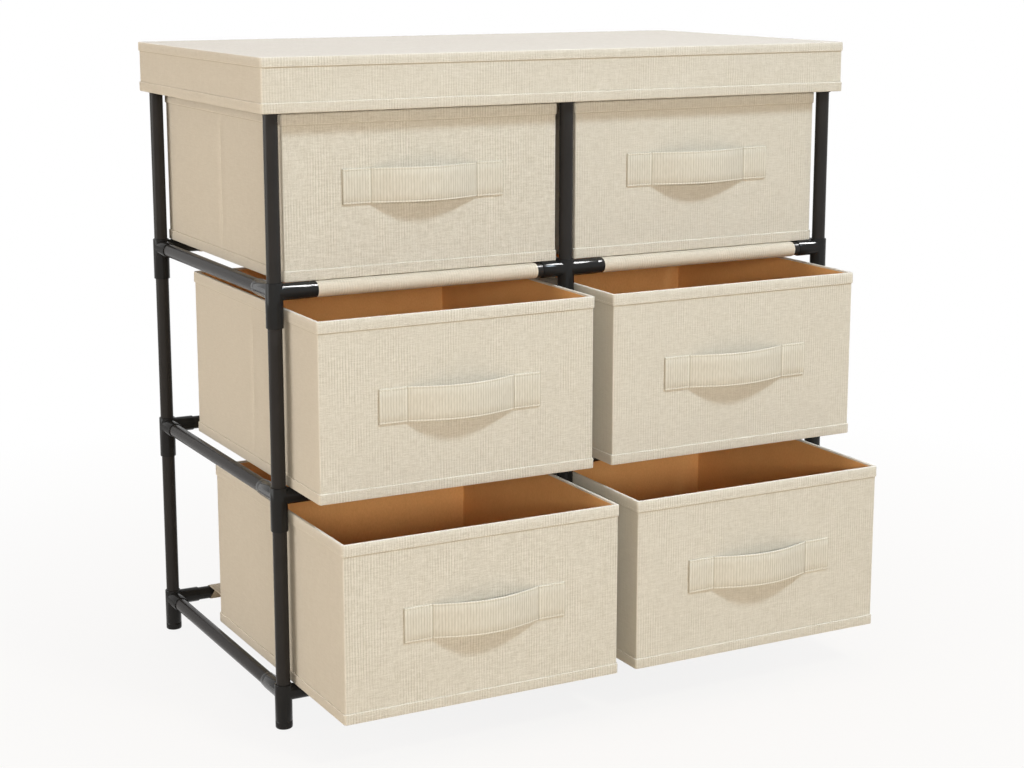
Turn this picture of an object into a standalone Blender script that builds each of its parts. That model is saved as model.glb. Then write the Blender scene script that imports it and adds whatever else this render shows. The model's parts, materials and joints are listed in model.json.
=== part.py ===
"""Drawer cabinet: a plug-in frame of tubes and connectors that carries fabric shelves,
six fabric drawers with webbing handles, and a box-shaped fabric cover over a top board.

Metres, +Z up, the drawers face -Y. The origin is on the floor, under the middle of the
cabinet as it stands with its lower drawers partly open.
"""

import math

import bpy
import bmesh
from mathutils import Matrix, Vector

# Frame of posts and rails, all measured between tube axes
POST_SPAN = 0.531
POST_DEPTH = 0.280
BOTTOM_RAIL_HEIGHT = 0.030
OVERALL_HEIGHT = 0.550

# Levels of shelves, evenly spaced from the bottom rails to this drop below the top
LEVEL_COUNT = 3
TOP_LEVEL_DROP = 0.0184

# Tubes
TUBE_DIAMETER = 0.0118
TUBE_WALL = 0.0010
TUBE_SIDES = 14

# Moulded connectors: a sleeve round the post and a socket arm for each rail
SLEEVE_DIAMETER = 0.0144
SLEEVE_ABOVE_RAIL = 0.0080
SLEEVE_BELOW_RAIL = 0.0287
FOOT_CHAMFER = 0.0012
FOOT_THICKNESS = 0.0030
ARM_DIAMETER = 0.0136
LONG_ARM = 0.0355
SHORT_ARM = 0.0245
SOCKET_WEB = 0.0008
TOP_SLEEVE_ROOF = 0.0020

# Fabric shelves, hung on the rails by a hem
HEM_DIAMETER = 0.0132
SHELF_THICKNESS = 0.0010
SHELF_END_MARGIN = 0.0300

# Clearances
FIT_GAP = 0.0003
CUT_OVERRUN = 0.0050
SKIRT_CLEARANCE = 0.0010
FLOOR_BOARD_CLEARANCE = 0.0010

# Cover and the board under it
COVER_SIDE_OVERHANG = 0.0125
COVER_FRONT_OVERHANG = 0.0130
COVER_BACK_OVERHANG = 0.0100
COVER_SKIRT = 0.0437
COVER_SKIN = 0.0015
COVER_TOP_BAND = 0.0078
COVER_LOWER_BAND = 0.0083
BOARD_THICKNESS = 0.0060
BOARD_MARGIN = 0.0012

# Bindings sewn round every edge stand this proud of the panels
BAND_PROUD = 0.0010

# Drawers, which fill the room between the posts' sleeves and under the next shelf
DRAWER_SIDE_CLEARANCE = 0.00135
DRAWER_HEADROOM = 0.0211
DRAWER_PAST_BACK_POSTS = 0.0032
DRAWER_WALL = 0.0028
DRAWER_BASE = 0.0020
DRAWER_RIM_BAND = 0.0096
DRAWER_LOWER_BAND = 0.0088
FLOOR_BOARD_THICKNESS = 0.0030

# How far the drawers of each level stand open
BOTTOM_DRAWERS_OPEN = 0.1075
MIDDLE_DRAWERS_OPEN = 0.0650
UPPER_DRAWERS_OPEN = 0.0

# Webbing handles
HANDLE_LENGTH = 0.1450
HANDLE_PATCH = 0.0240
HANDLE_HEIGHT = 0.0285
HANDLE_MIDDLE = 0.0735
HANDLE_BULGE = 0.0115
WEBBING_THICKNESS = 0.0014
STRAP_STEPS = 12

# Worked out from the sizes above
TUBE_RADIUS = TUBE_DIAMETER / 2
BORE_RADIUS = TUBE_RADIUS + FIT_GAP
SLEEVE_RADIUS = SLEEVE_DIAMETER / 2
ARM_RADIUS = ARM_DIAMETER / 2
HEM_RADIUS = HEM_DIAMETER / 2
SOCKET_START = SLEEVE_RADIUS + SOCKET_WEB
LEVEL_PITCH = (OVERALL_HEIGHT - TOP_LEVEL_DROP - BOTTOM_RAIL_HEIGHT) / LEVEL_COUNT
DRAWER_WIDTH = POST_SPAN / 2 - SLEEVE_DIAMETER - 2 * DRAWER_SIDE_CLEARANCE
DRAWER_DEPTH = POST_DEPTH + DRAWER_PAST_BACK_POSTS
DRAWER_HEIGHT = LEVEL_PITCH - DRAWER_HEADROOM
DRAWER_LIFT = max(ARM_RADIUS, HEM_RADIUS) + FIT_GAP
SKIRT_BOTTOM = OVERALL_HEIGHT - COVER_SKIRT
BOARD_TOP = OVERALL_HEIGHT - COVER_SKIN - FIT_GAP
BOARD_BOTTOM = BOARD_TOP - BOARD_THICKNESS
TOP_RAIL_HEIGHT = BOARD_BOTTOM - FIT_GAP - SLEEVE_ABOVE_RAIL

LEVELS = {
    "bottom": BOTTOM_RAIL_HEIGHT,
    "middle": BOTTOM_RAIL_HEIGHT + LEVEL_PITCH,
    "upper": BOTTOM_RAIL_HEIGHT + LEVEL_PITCH + LEVEL_PITCH,
}
DRAWERS_OPEN = {
    "bottom": BOTTOM_DRAWERS_OPEN,
    "middle": MIDDLE_DRAWERS_OPEN,
    "upper": UPPER_DRAWERS_OPEN,
}

# The cabinet's reach to the front and the back, from the middle of the frame
FRAME_FRONT = -POST_DEPTH / 2
FRAME_BACK = POST_DEPTH / 2
HANDLE_REACH = FIT_GAP + WEBBING_THICKNESS + HANDLE_BULGE - BAND_PROUD
FRONT_REACH = min(
    FRAME_FRONT - max(DRAWERS_OPEN.values()) - HANDLE_REACH,
    FRAME_FRONT - COVER_FRONT_OVERHANG,
)
BACK_REACH = max(FRAME_BACK + COVER_BACK_OVERHANG, FRAME_FRONT + DRAWER_DEPTH)
MIDDLE_Y = -(FRONT_REACH + BACK_REACH) / 2

COLUMNS = {"left": -POST_SPAN / 2, "centre": 0.0, "right": POST_SPAN / 2}
ROWS = {"front": MIDDLE_Y + FRAME_FRONT, "back": MIDDLE_Y + FRAME_BACK}
BAYS = {"left": ("left", "centre"), "right": ("centre", "right")}


# Materials


def make_material(name, colour, roughness, metallic=0.0):
    material = bpy.data.materials.new(name)
    material.use_nodes = True
    shader = material.node_tree.nodes["Principled BSDF"]
    shader.inputs["Base Color"].default_value = (*colour, 1.0)
    shader.inputs["Roughness"].default_value = roughness
    shader.inputs["Metallic"].default_value = metallic
    return material


def make_materials():
    return {
        "tube": make_material("satin_black_steel", (0.035, 0.036, 0.038), 0.38, 0.6),
        "connector": make_material("black_plastic", (0.012, 0.012, 0.013), 0.22),
        "linen": make_material("cream_linen", (0.67, 0.60, 0.47), 0.85),
        "webbing": make_material("cream_webbing", (0.69, 0.62, 0.48), 0.80),
        "board": make_material("grey_board", (0.36, 0.31, 0.24), 0.90),
        "lining": make_material("brown_lining", (0.27, 0.12, 0.05), 0.90),
    }


# Meshes


def finish_mesh(bm, name, smooth_angle=None):
    """Turns a bmesh into a mesh with its faces pointing out, shaded smooth if it is round."""
    bmesh.ops.recalc_face_normals(bm, faces=bm.faces)
    mesh = bpy.data.meshes.new(name)
    bm.to_mesh(mesh)
    bm.free()
    if smooth_angle is not None:
        mesh.shade_smooth()
        mesh.set_sharp_from_angle(angle=smooth_angle)
    return mesh


def bridge_rings(bm, rings, closed):
    """Joins rings of equal count with quads, and caps the two end rings unless the loop closes."""
    pairs = list(zip(rings, rings[1:]))
    if closed:
        pairs.append((rings[-1], rings[0]))
    for low, high in pairs:
        for i in range(len(low)):
            j = (i + 1) % len(low)
            bm.faces.new((low[i], low[j], high[j], high[i]))
    if not closed:
        bm.faces.new(rings[0])
        bm.faces.new(rings[-1])


ROUND_EDGE_ANGLE = math.radians(40)
ALONG = {
    "x": Matrix.Rotation(math.radians(90), 4, "Y"),
    "y": Matrix(((0, 1, 0, 0), (0, 0, 1, 0), (1, 0, 0, 0), (0, 0, 0, 1))),
    "z": Matrix.Identity(4),
}


def turned_mesh(name, profile, axis="z", closed=False):
    """Revolves (radius, place along the axis) pairs. A level piece has a corner straight up."""
    bm = bmesh.new()
    rings = []
    for radius, place in profile:
        ring = []
        for side in range(TUBE_SIDES):
            angle = math.tau * side / TUBE_SIDES
            point = Vector((radius * math.cos(angle), radius * math.sin(angle), place))
            ring.append(bm.verts.new(ALONG[axis] @ point))
        rings.append(ring)
    bridge_rings(bm, rings, closed)
    return finish_mesh(bm, name, ROUND_EDGE_ANGLE)


def tube_mesh(name, start, end, axis):
    inner = TUBE_RADIUS - TUBE_WALL
    profile = ((TUBE_RADIUS, start), (TUBE_RADIUS, end), (inner, end), (inner, start))
    return turned_mesh(name, profile, axis, closed=True)


def rod_mesh(name, radius, start, end, axis):
    return turned_mesh(name, ((radius, start), (radius, end)), axis)


def stacked_mesh(name, rings):
    """Joins level rectangles, each (low x, high x, low y, high y, z), and caps both ends."""
    bm = bmesh.new()
    made = []
    for x0, x1, y0, y1, z in rings:
        corners = ((x0, y0, z), (x1, y0, z), (x1, y1, z), (x0, y1, z))
        made.append([bm.verts.new(corner) for corner in corners])
    bridge_rings(bm, made, closed=False)
    return finish_mesh(bm, name)


def combine(name, base, others, operation):
    """Joins meshes to a base mesh, or cuts them from it, and gives the result as a new mesh."""
    scene = bpy.context.scene
    holder = bpy.data.objects.new(name, base)
    scene.collection.objects.link(holder)
    helpers = [holder]
    for mesh in others:
        helper = bpy.data.objects.new(mesh.name, mesh)
        scene.collection.objects.link(helper)
        helpers.append(helper)
        modifier = holder.modifiers.new(operation.lower(), "BOOLEAN")
        modifier.operation = operation
        modifier.solver = "EXACT"
        modifier.object = helper
    evaluated = holder.evaluated_get(bpy.context.evaluated_depsgraph_get())
    result = bpy.data.meshes.new_from_object(evaluated)
    for helper in helpers:
        bpy.data.objects.remove(helper)
    result.name = name
    result.shade_smooth()
    result.set_sharp_from_angle(angle=ROUND_EDGE_ANGLE)
    return result


def place(name, mesh, material, location=(0.0, 0.0, 0.0), parent=None):
    obj = bpy.data.objects.new(name, mesh)
    obj.location = location
    obj.parent = parent
    mesh.materials.clear()
    mesh.materials.append(material)
    bpy.context.scene.collection.objects.link(obj)
    return obj


# Frame


def make_posts(materials):
    """Six tubes, from just above the foot's floor to just under the top sleeve's roof."""
    start = FOOT_THICKNESS + FIT_GAP
    end = TOP_RAIL_HEIGHT + SLEEVE_ABOVE_RAIL - TOP_SLEEVE_ROOF - FIT_GAP
    mesh = tube_mesh("post", start, end, "z")
    for row, y in ROWS.items():
        for column, x in COLUMNS.items():
            place(f"post_{row}_{column}", mesh, materials["tube"], (x, y, 0.0))


def arm_lengths(row, column):
    """Lengths of a connector's arms towards -X, +X and along Y; zero where there is no arm."""
    left = 0.0 if column == "left" else -SHORT_ARM
    right = LONG_ARM if row == "front" else SHORT_ARM
    right = 0.0 if column == "right" else right
    depth = LONG_ARM if row == "front" else -SHORT_ARM
    return left, right, depth


def arm_bore(name, length, axis):
    """Cutter for a rail's socket, which stops at a web beside the post."""
    side = math.copysign(1, length)
    return rod_mesh(name, BORE_RADIUS, side * SOCKET_START, length + side * CUT_OVERRUN, axis)


def connector_mesh(row, column, foot):
    """A sleeve on the post with an arm for each rail; its origin is where the axes meet."""
    left, right, depth = arm_lengths(row, column)
    bottom = -BOTTOM_RAIL_HEIGHT if foot else -SLEEVE_BELOW_RAIL
    profile = [(SLEEVE_RADIUS, bottom), (SLEEVE_RADIUS, SLEEVE_ABOVE_RAIL)]
    if foot:
        profile[0] = (SLEEVE_RADIUS, bottom + FOOT_CHAMFER)
        profile.insert(0, (SLEEVE_RADIUS - FOOT_CHAMFER, bottom))
    sleeve = turned_mesh("sleeve", profile)
    arms = [
        rod_mesh("cross_arm", ARM_RADIUS, left, right, "x"),
        rod_mesh("depth_arm", ARM_RADIUS, 0.0, depth, "y"),
    ]
    body = combine("connector", sleeve, arms, "UNION")
    bore_start = bottom + FOOT_THICKNESS if foot else bottom - CUT_OVERRUN
    bores = [rod_mesh("post_bore", BORE_RADIUS, bore_start, SLEEVE_ABOVE_RAIL + CUT_OVERRUN, "z")]
    bores += [arm_bore("cross_bore", length, "x") for length in (left, right) if length]
    bores.append(arm_bore("depth_bore", depth, "y"))
    return combine("connector", body, bores, "DIFFERENCE")


def make_connectors(materials):
    for row, y in ROWS.items():
        for column, x in COLUMNS.items():
            footed = connector_mesh(row, column, foot=True)
            plain = connector_mesh(row, column, foot=False)
            for level, z in LEVELS.items():
                mesh = footed if level == "bottom" else plain
                name = f"connector_{level}_{row}_{column}"
                place(name, mesh, materials["connector"], (x, y, z))


def make_depth_rails(materials):
    """The rails that run front to back, pushed home in the connectors' sockets."""
    start = ROWS["front"] + SOCKET_START + FIT_GAP
    end = ROWS["back"] - SOCKET_START - FIT_GAP
    mesh = tube_mesh("depth_rail", start, end, "y")
    for level, z in LEVELS.items():
        for column, x in COLUMNS.items():
            place(f"depth_rail_{level}_{column}", mesh, materials["tube"], (x, 0.0, z))


def make_top_frame(materials):
    """The ring under the cover: a closed cap on each post, with hollow rails between the caps."""
    sleeve_profile = (
        (SLEEVE_RADIUS, -SLEEVE_BELOW_RAIL),
        (SLEEVE_RADIUS, SLEEVE_ABOVE_RAIL),
    )
    bore_end = SLEEVE_ABOVE_RAIL - TOP_SLEEVE_ROOF
    hollow_radius = TUBE_RADIUS - TUBE_WALL
    pieces = []
    bores = []
    for y in ROWS.values():
        rail = rod_mesh("long_rail", TUBE_RADIUS, COLUMNS["left"], COLUMNS["right"], "x")
        hollow = rod_mesh("long_hollow", hollow_radius, COLUMNS["left"], COLUMNS["right"], "x")
        for mesh in (rail, hollow):
            mesh.transform(Matrix.Translation((0.0, y, 0.0)))
        pieces.append(rail)
        bores.append(hollow)
        for x in COLUMNS.values():
            sleeve = turned_mesh("top_sleeve", sleeve_profile)
            bore = rod_mesh("post_bore", BORE_RADIUS, -SLEEVE_BELOW_RAIL - CUT_OVERRUN, bore_end, "z")
            for mesh in (sleeve, bore):
                mesh.transform(Matrix.Translation((x, y, 0.0)))
            pieces.append(sleeve)
            bores.append(bore)
    for x in COLUMNS.values():
        rail = rod_mesh("short_rail", TUBE_RADIUS, ROWS["front"], ROWS["back"], "y")
        hollow = rod_mesh("short_hollow", hollow_radius, ROWS["front"], ROWS["back"], "y")
        for mesh in (rail, hollow):
            mesh.transform(Matrix.Translation((x, 0.0, 0.0)))
        pieces.append(rail)
        bores.append(hollow)
    ring = combine("top_ring", pieces[0], pieces[1:], "UNION")
    mesh = combine("top_frame", ring, bores, "DIFFERENCE")
    place("top_frame", mesh, materials["tube"], (0.0, 0.0, TOP_RAIL_HEIGHT))


# Shelves


def shelf_mesh(bay):
    """Two cross rails, the hems sewn round them and the sheet stretched between the hems."""
    low, high = (COLUMNS[column] for column in BAYS[bay])
    rail_start = low + SOCKET_START + FIT_GAP
    rail_end = high - SOCKET_START - FIT_GAP
    fabric_start = low + LONG_ARM + FIT_GAP
    fabric_end = high - SHELF_END_MARGIN
    sheet = stacked_mesh(
        "sheet",
        (
            (fabric_start, fabric_end, ROWS["front"], ROWS["back"], HEM_RADIUS - SHELF_THICKNESS),
            (fabric_start, fabric_end, ROWS["front"], ROWS["back"], HEM_RADIUS),
        ),
    )
    pieces = []
    bores = []
    for y in ROWS.values():
        shift = Matrix.Translation((0.0, y, 0.0))
        hem = rod_mesh("hem", HEM_RADIUS, fabric_start, fabric_end, "x")
        rail = rod_mesh("cross_rail", TUBE_RADIUS, rail_start, rail_end, "x")
        bore = rod_mesh(
            "rail_bore", TUBE_RADIUS - TUBE_WALL, rail_start - CUT_OVERRUN, rail_end + CUT_OVERRUN, "x"
        )
        for mesh in (hem, rail, bore):
            mesh.transform(shift)
        pieces += [hem, rail]
        bores.append(bore)
    joined = combine("shelf", sheet, pieces, "UNION")
    return combine("shelf", joined, bores, "DIFFERENCE")


def make_shelves(materials):
    for bay in BAYS:
        mesh = shelf_mesh(bay)
        for level, z in LEVELS.items():
            place(f"shelf_{level}_{bay}", mesh, materials["linen"], (0.0, 0.0, z))


# Top


def cover_ring(inset, z):
    """A level rectangle set in from the cover's outline."""
    return (
        COLUMNS["left"] - COVER_SIDE_OVERHANG + inset,
        COLUMNS["right"] + COVER_SIDE_OVERHANG - inset,
        ROWS["front"] - COVER_FRONT_OVERHANG + inset,
        ROWS["back"] + COVER_BACK_OVERHANG - inset,
        z,
    )


def make_top(materials):
    """The sewn cover, open below, and the board that lies on the frame inside it."""
    inside = BAND_PROUD + COVER_SKIN
    lower_band = SKIRT_BOTTOM + COVER_LOWER_BAND
    top_band = OVERALL_HEIGHT - COVER_TOP_BAND
    rings = (
        cover_ring(inside, OVERALL_HEIGHT - COVER_SKIN),
        cover_ring(inside, SKIRT_BOTTOM),
        cover_ring(0.0, SKIRT_BOTTOM),
        cover_ring(0.0, lower_band),
        cover_ring(BAND_PROUD, lower_band),
        cover_ring(BAND_PROUD, top_band),
        cover_ring(0.0, top_band),
        cover_ring(0.0, OVERALL_HEIGHT),
    )
    place("top_cover", stacked_mesh("top_cover", rings), materials["linen"])
    edge = inside + BOARD_MARGIN
    board = stacked_mesh("top_board", (cover_ring(edge, BOARD_BOTTOM), cover_ring(edge, BOARD_TOP)))
    place("top_board", board, materials["board"])


# Drawers, each in its own space: the origin is under the middle of the front edge


def drawer_ring(inset, z):
    half = DRAWER_WIDTH / 2 - inset
    return (-half, half, inset, DRAWER_DEPTH - inset, z)


def drawer_box_mesh(height):
    """An open box with a binding round its rim and another round its lower edge."""
    inside = BAND_PROUD + DRAWER_WALL
    rim_band = height - DRAWER_RIM_BAND
    rings = (
        drawer_ring(inside, DRAWER_BASE),
        drawer_ring(inside, height),
        drawer_ring(0.0, height),
        drawer_ring(0.0, rim_band),
        drawer_ring(BAND_PROUD, rim_band),
        drawer_ring(BAND_PROUD, DRAWER_LOWER_BAND),
        drawer_ring(0.0, DRAWER_LOWER_BAND),
        drawer_ring(0.0, 0.0),
    )
    return stacked_mesh("drawer_box", rings)


def floor_board_mesh():
    """The loose stiff board that lies on the drawer's base and keeps the box square."""
    inset = BAND_PROUD + DRAWER_WALL + FLOOR_BOARD_CLEARANCE
    bottom = DRAWER_BASE + FIT_GAP
    rings = (drawer_ring(inset, bottom), drawer_ring(inset, bottom + FLOOR_BOARD_THICKNESS))
    return stacked_mesh("floor_board", rings)


def handle_path():
    """Places along the strap's inner face: flat under both patches, bowed out between them."""
    half = HANDLE_LENGTH / 2
    seam = half - HANDLE_PATCH
    seat = BAND_PROUD - FIT_GAP
    path = [(-half, seat)]
    for step in range(STRAP_STEPS + 1):
        share = step / STRAP_STEPS
        bow = HANDLE_BULGE * math.sin(math.pi * share)
        path.append((seam * (share + share - 1), seat - bow))
    path.append((half, seat))
    return path


def handle_mesh():
    """One length of webbing, of even thickness, standing on its edge along the path."""
    path = [Vector(point) for point in handle_path()]
    bottom = HANDLE_MIDDLE - HANDLE_HEIGHT / 2
    top = HANDLE_MIDDLE + HANDLE_HEIGHT / 2
    bm = bmesh.new()
    rings = []
    for i, point in enumerate(path):
        before = path[max(i - 1, 0)]
        after = path[min(i + 1, len(path) - 1)]
        along = (after - before).normalized()
        outer = point + WEBBING_THICKNESS * Vector((along.y, -along.x))
        corners = ((point, bottom), (outer, bottom), (outer, top), (point, top))
        rings.append([bm.verts.new((at.x, at.y, z)) for at, z in corners])
    bridge_rings(bm, rings, closed=False)
    return finish_mesh(bm, "handle", ROUND_EDGE_ANGLE)


def make_drawers(materials):
    floor_board = floor_board_mesh()
    handle = handle_mesh()
    headroom = SKIRT_BOTTOM - SKIRT_CLEARANCE - LEVELS["upper"] - DRAWER_LIFT
    heights = {
        "bottom": DRAWER_HEIGHT,
        "middle": DRAWER_HEIGHT,
        "upper": min(DRAWER_HEIGHT, headroom),
    }
    for level, z in LEVELS.items():
        box = drawer_box_mesh(heights[level])
        for bay, (low, high) in BAYS.items():
            slide = bpy.data.objects.new(f"slide_{level}_{bay}", None)
            slide.location = (
                (COLUMNS[low] + COLUMNS[high]) / 2,
                ROWS["front"] - DRAWERS_OPEN[level],
                z + DRAWER_LIFT,
            )
            bpy.context.scene.collection.objects.link(slide)
            name = f"drawer_{level}_{bay}"
            place(f"{name}_box", box, materials["linen"], parent=slide)
            place(f"{name}_floor", floor_board, materials["lining"], parent=slide)
            place(f"{name}_handle", handle, materials["webbing"], parent=slide)


def main():
    for obj in list(bpy.data.objects):
        bpy.data.objects.remove(obj)
    materials = make_materials()
    make_posts(materials)
    make_connectors(materials)
    make_depth_rails(materials)
    make_top_frame(materials)
    make_shelves(materials)
    make_top(materials)
    make_drawers(materials)


main()
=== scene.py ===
"""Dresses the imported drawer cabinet: a black plug-in frame, fabric shelves, six linen
drawers with webbing handles and a sewn cover, on a pale floor in soft studio light.

Metres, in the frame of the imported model: +Z up, the drawers face -Y.
"""

import json
import math
from collections import namedtuple

import bmesh
import bpy
import numpy as np
from mathutils import Matrix, Vector

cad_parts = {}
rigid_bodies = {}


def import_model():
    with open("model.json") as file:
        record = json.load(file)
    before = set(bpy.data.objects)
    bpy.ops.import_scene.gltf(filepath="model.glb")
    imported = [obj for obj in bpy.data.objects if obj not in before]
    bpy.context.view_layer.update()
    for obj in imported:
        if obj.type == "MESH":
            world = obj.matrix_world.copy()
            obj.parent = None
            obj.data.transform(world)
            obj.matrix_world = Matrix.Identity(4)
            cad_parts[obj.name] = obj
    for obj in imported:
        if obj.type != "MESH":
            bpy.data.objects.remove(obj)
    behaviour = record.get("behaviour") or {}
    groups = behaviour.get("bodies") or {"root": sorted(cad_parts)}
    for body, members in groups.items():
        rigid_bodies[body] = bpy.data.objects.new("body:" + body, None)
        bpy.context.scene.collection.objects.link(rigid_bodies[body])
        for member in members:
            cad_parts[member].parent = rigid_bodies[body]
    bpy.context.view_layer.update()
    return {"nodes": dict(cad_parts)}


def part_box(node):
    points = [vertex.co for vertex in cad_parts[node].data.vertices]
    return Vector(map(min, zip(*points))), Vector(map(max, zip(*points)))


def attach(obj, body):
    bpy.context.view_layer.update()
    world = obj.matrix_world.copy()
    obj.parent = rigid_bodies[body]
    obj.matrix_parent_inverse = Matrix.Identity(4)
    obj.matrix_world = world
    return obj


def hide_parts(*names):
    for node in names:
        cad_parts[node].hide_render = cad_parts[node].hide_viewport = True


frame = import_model()

LEVELS = ("bottom", "middle", "upper")
ROWS = ("front", "back")
COLUMNS = ("left", "centre", "right")
BAYS = {"left": ("left", "centre"), "right": ("centre", "right")}

# Round pieces
ROUND_SIDES = 48
SHARP_ANGLE = math.radians(35)
SHORTEST_EDGE = 2e-6
NICK_SHARE = 0.3
TUBE_WALL = 0.0010
TUBE_EDGE = 0.0002
ARM_RADIUS = 0.0068
COLLAR_RADIUS = 0.00645
COLLAR_LENGTH = 0.0058
LONG_ARM_FROM = 0.030
SLEEVE_RADIUS = 0.0072
SOCKET_START = 0.0080
FOOT_FLOOR = 0.0030
FIT_GAP = 0.0003
OVERRUN = 0.004
LIP_ROUND = 0.0006
COLLAR_ROUND = LIP_ROUND / 4
FOOT_ROUND = 0.0014
FOOT_CURVE = ((1.0, 0.0), (0.5, 0.13), (0.13, 0.5), (0.0, 1.0))
FOOT_GROOVE_HEIGHT = 0.0062
FOOT_GROOVE_HALF = 0.0004
FOOT_GROOVE_DEPTH = 0.00025

# Sewn pieces
BAND_PROUD = 0.0010
EDGE_ROUND = 0.0009
EDGE_NICK = EDGE_ROUND * NICK_SHARE
FOLD_ROUND = 0.0003
CORNER_RADIUS = 0.0022
SMALLEST_RADIUS = 0.0003
CORNER_STEPS = 5
# Painted highlight on the rounded upright corners of the sewn shells
CORNER_HIGHLIGHT = 0.30
SIDE_STEPS = 24
CENTRE_INSET = 0.02
CLOTH_THICKNESS = 0.0007
COVER_CLOTH = 0.0015

# Swell of the panels: waves in radians per metre, and how each starts with the seed
SLOW_WAVES = (23, 19)
SLOW_STARTS = (1.7, 2.3)
QUICK_WAVES = (47, 39)
QUICK_START = 0.9
QUICK_SHARE = 0.45
SWELL_RISE = 7
TOP_SWELL_FROM = 0.03

# Upright fold in a drawer's sides, in half widths, and how soon it deepens from the bands
FOLD_PLACES = (-1.0, -0.4, 0.0, 0.4, 1.0)
FOLD_CLEARANCE = 1.6
FOLD_REACH = 0.9
FOLD_RISE = 4

# Seeds: each piece has a swell and a place in the weave of its own
COVER_SEED = 2.0
FIRST_SEED = 1.0
SHELF_SEED_STEP = 10
LINING_SEED_STEP = 0.5
BOARD_SEED_STEP = 0.7
THREAD_SHIFT = 3.7

# Drawers, above their own base
RIM_BAND = 0.0096
LOWER_BAND = 0.0088
WALL_INSIDE = 0.0032
WALL_FLOOR = 0.0012
LINING_INSIDE = 0.0038
LINING_DROP = 0.0014
LINING_GAP = 0.00005
LINING_BASE = 0.0013
LINING_FLOOR = 0.0020
LINING_CORNER = 0.0010
LINING_OUTER_ROUND = 0.0002
LINING_INNER_ROUND = (0.0001, 0.0003)
LINING_LEVELS = (0.66, 0.33)
FLOOR_EDGE = 0.0006
FLOOR_CENTRE_INSET = 0.01
PANEL_STEPS = 9
PANEL_SWAY = 0.00035
CREASE_DEPTH = 0.0006
CREASE_HALF_WIDTH = 0.0016

# Cover
COVER_TOP_BAND = 0.0078
COVER_LOWER_BAND = 0.0083
COVER_CORNER_RADIUS = 0.0030
COVER_SWAY = 0.0005
COVER_TOP_INSETS = (0.0025, 0.006, 0.012, 0.024, 0.045, 0.075, 0.105, 0.130, 0.146)

# Handles
STRAP_HALF_HEIGHT = 0.01425
STRAP_THICKNESS = 0.0014
STRAP_SELVEDGE = 0.0016
STRAP_SIDE_ROUND = 0.0004
STRAP_PATCH = 0.0240
STRAP_BULGE = 0.0115
STRAP_SINK = 0.0001
STRAP_ROWS = 5
SLOPE_STEP = 1e-4
# Painted highlight along the strap's sewn lines and ends, painted shade beside them, and a small
# real dent there
SEAM_HIGHLIGHT = 0.0010
SEAM_SHADE = 0.0009
SEAM_DENT = 0.00035
STRAP_END_SHADE = 0.0006
PATCH_STITCH_INSET = 0.0016
PATCH_STITCH_GAP = 0.0014
RIB_PITCH = 0.0024
RIB_HEIGHT = 0.00016
RIB_STEPS = 6

# Weave: spots per metre across and along, and how far each pales, darkens or lifts the cloth
LINEN_RIB_PITCH = 0.0024
RIB_WANDER = 4.0
RIB_DRIFT = (150.0, 30.0)
RIB_PATCHES = (45.0, 24.0)
PATCH_FROM, PATCH_RISE = 0.37, 3.4
WARP = (1150.0, 140.0)
WEFT = (130.0, 1100.0)
GRAIN = (1250.0, 1250.0)
CLOUD = (24.0, 24.0)
LINEN_SHOW = {"rib": 0.36, "warp": 0.75, "weft": 1.0, "grain": 0.9, "cloud": 0.1}
# How much the painted highlight on folds pales the linen, and how much the painted shade in grooves
# darkens it
LINEN_PAINTED_EDGES = {"worn": 0.4, "groove": 0.7}
LINEN_LIFT = {"rib": 0.5, "warp": 1.2, "weft": 0.8}
WEBBING_GRAIN = (900.0, 160.0)
WEBBING_BASE = 0.14
# Webbing tone: ribs and grain, a painted highlight on selvedges and sewn lines, and painted shade
# beside them
WEBBING_SHOW = {"rib": 0.62, "grain": 0.8, "worn": 0.35, "groove": 0.5}
LINING_FIBRE = (900.0, 900.0)
LINING_WARP = (1100.0, 420.0)
LINING_CLOUD = (38.0, 30.0)
LINING_SHOW = {"fibre": 0.7, "warp": 0.8, "cloud": 0.5}

# How quiet the weave is: on faces that look along x, y and z, and at least, on each kind of piece
QUIET_BY_AXIS = (1.0, 0.0, 0.5)
WEAVE_HUSH = {"left": 0.0, "right": 0.35, "cover": 0.4, "shelf": 0.6}
QUIET_SHARE = 0.65

# Stitches
STITCH_PITCH = 0.0034
STITCH_LENGTH = 0.0026
STITCH_RADIUS = 0.00021
STITCH_SIDES = 6
STITCH_FROM_EDGE = 0.0017
STITCH_SINK = 0.4
STITCH_WAISTS = ((-0.34, 0.8), (0.0, 1.0), (0.34, 0.8))

# Shelves
HEM_RADIUS = 0.0066
HEM_FLAP = 0.0150
HEM_END_ROUND = 0.0016
HEM_END_CURVE = ((0.0, 0.15), (0.25, 0.6), (1.0, 1.0))
HEM_STEPS = 22
FLAP_DROP = 1.2
SHEET_STEPS = 12
ACROSS_STEPS = 10
SHELF_SAG = 0.0010
SHELF_SHORT_OF_POST = 0.0300
SHELF_STITCH_IN = 0.002


def centre(node):
    low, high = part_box(node)
    return (low + high) / 2


POST_X = {column: centre(f"post_front_{column}").x for column in COLUMNS}
POST_Y = {row: centre(f"post_{row}_left").y for row in ROWS}
RAIL_Z = {level: centre(f"depth_rail_{level}_left").z for level in LEVELS}
post_low, post_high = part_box("post_front_left")
TUBE_RADIUS = (post_high.x - post_low.x) / 2
TUBE_INSIDE = TUBE_RADIUS - TUBE_WALL
BORE_RADIUS = TUBE_RADIUS + FIT_GAP


# Camera and studio

CAMERA_PLACE = (-0.8345, -1.5490, 0.6306)
CAMERA_AZIMUTH = -28.13
CAMERA_PITCH = 11.16
CAMERA_LENS = 70.20
CAMERA_SHIFT = -0.0391
SENSOR_WIDTH = 36

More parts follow.
